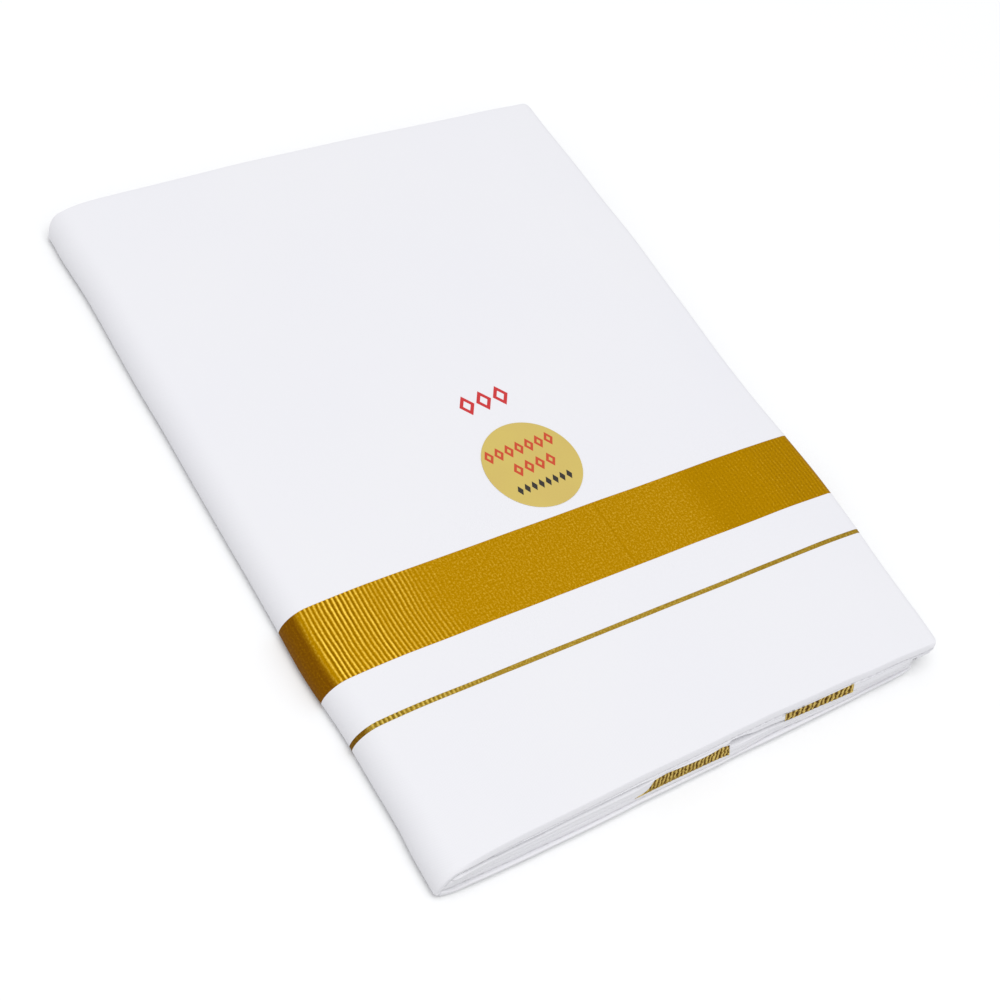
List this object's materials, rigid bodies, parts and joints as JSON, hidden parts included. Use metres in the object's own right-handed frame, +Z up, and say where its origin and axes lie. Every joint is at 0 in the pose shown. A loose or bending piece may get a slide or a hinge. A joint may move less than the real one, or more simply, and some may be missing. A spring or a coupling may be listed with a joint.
{
  "type": "folded dhoti cloth",
  "caption": "White cotton dhoti with a woven gold border band and fine gold line, folded and pressed into a flat rectangular packet with a round gold label; worn wrapped at the waist.",
  "frame": {"origin": "middle of the underside, on the surface that the packet lies on", "axes": "+X across the packet from its spine to its fold, along the gold band; +Y along the packet away from the band's end; +Z up through its thickness"},
  "size_m": [0.2489, 0.3344, 0.0177],
  "materials": {
    "cotton": "pressed plain weave",
    "zari": "ribbed metallic thread, satin",
    "label": "satin gold foil on paper"
  },
  "bodies": {
    "root": {"cloth_field": "cotton", "zari_band": "zari", "cloth_gap": "cotton", "zari_line": "zari", "cloth_margin": "cotton", "inner_folds": "cotton", "cross_band_left": "zari", "cross_band_right": "zari", "round_label": "label"}
  },
  "joints": []
}
